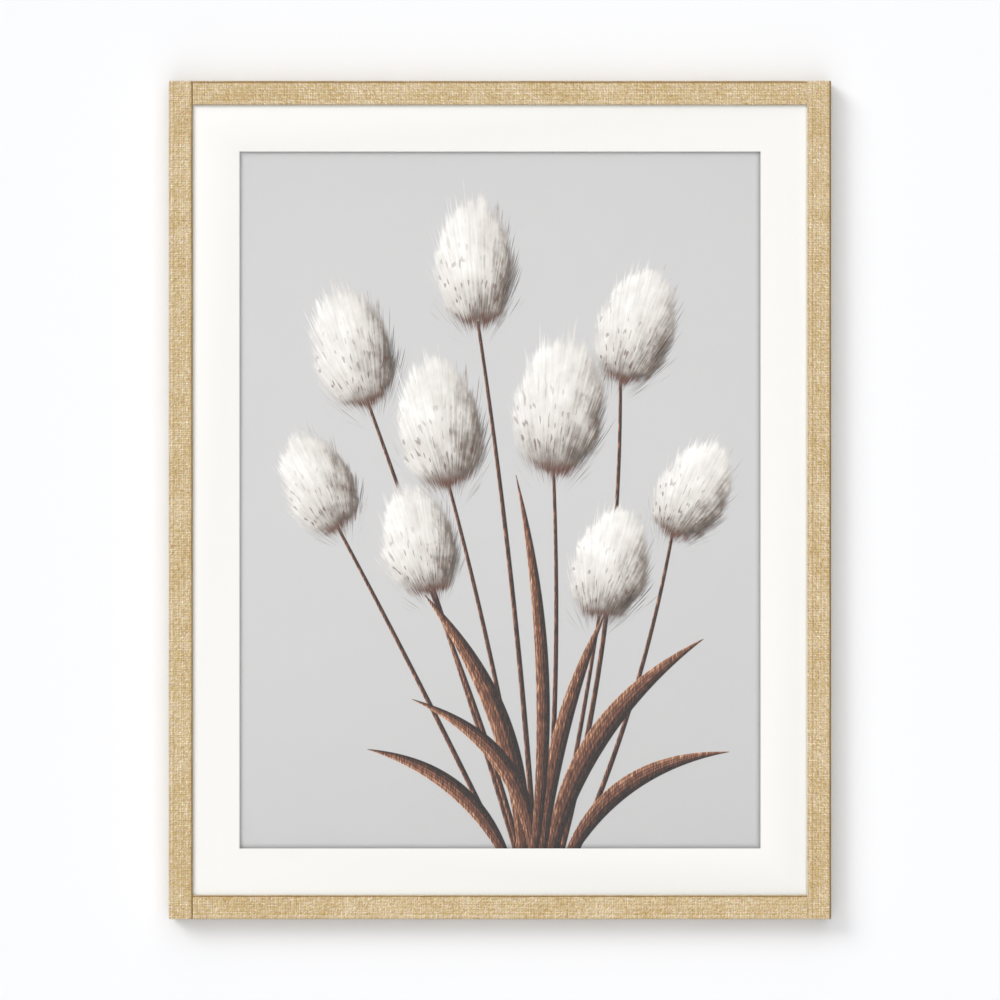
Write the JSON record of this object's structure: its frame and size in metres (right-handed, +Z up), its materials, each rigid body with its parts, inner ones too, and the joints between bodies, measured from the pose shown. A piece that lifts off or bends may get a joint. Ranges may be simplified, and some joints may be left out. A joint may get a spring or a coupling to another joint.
{
  "type": "framed and matted art print",
  "caption": "Portrait picture frame covered in woven linen, glazed, with a white window mat round a botanical print and a toothed hanger on its back.",
  "frame": {"origin": "the point where the wall's nail carries the hanger, in the notch between its middle teeth, on the wall's plane", "axes": "+X to the viewer's right, +Y from the viewer into the wall, +Z up; the picture faces -Y"},
  "size_m": [0.5728, 0.0225, 0.725],
  "materials": {
    "linen": "coarse undyed linen, plain weave with slubs",
    "pine": "sawn pine, unfinished",
    "beech": "turned beech, unfinished",
    "glazing": "clear glazing sheet",
    "mat": "white cotton mat board, matt",
    "print": "matt art paper with a printed botanical design",
    "foam_board": "white-faced foam board",
    "hardboard": "brown pressed hardboard",
    "point_steel": "plain spring steel",
    "hanger_steel": "zinc-plated steel",
    "nail_brass": "brass-plated steel",
    "bumper_rubber": "soft rubber"
  },
  "bodies": {
    "root": {"stile_left": "pine", "stile_right": "pine", "rail_top": "pine", "rail_bottom": "pine", "wrap_left": "linen", "wrap_right": "linen", "wrap_top": "linen", "wrap_bottom": "linen", "dowel_top_left_front": "beech", "dowel_top_left_back": "beech", "dowel_top_right_front": "beech", "dowel_top_right_back": "beech", "dowel_bottom_left_front": "beech", "dowel_bottom_left_back": "beech", "dowel_bottom_right_front": "beech", "dowel_bottom_right_back": "beech", "glazing": "glazing", "mat_board": "mat", "print_sheet": "print", "mount_board": "foam_board", "backing_board": "hardboard", "point_left_1": "point_steel", "point_left_2": "point_steel", "point_left_3": "point_steel", "point_right_1": "point_steel", "point_right_2": "point_steel", "point_right_3": "point_steel", "point_top_1": "point_steel", "point_top_2": "point_steel", "point_bottom_1": "point_steel", "point_bottom_2": "point_steel", "hanger_plate": "hanger_steel", "nail_left": "nail_brass", "nail_right": "nail_brass", "bumper_left": "bumper_rubber", "bumper_right": "bumper_rubber"}
  },
  "joints": []
}
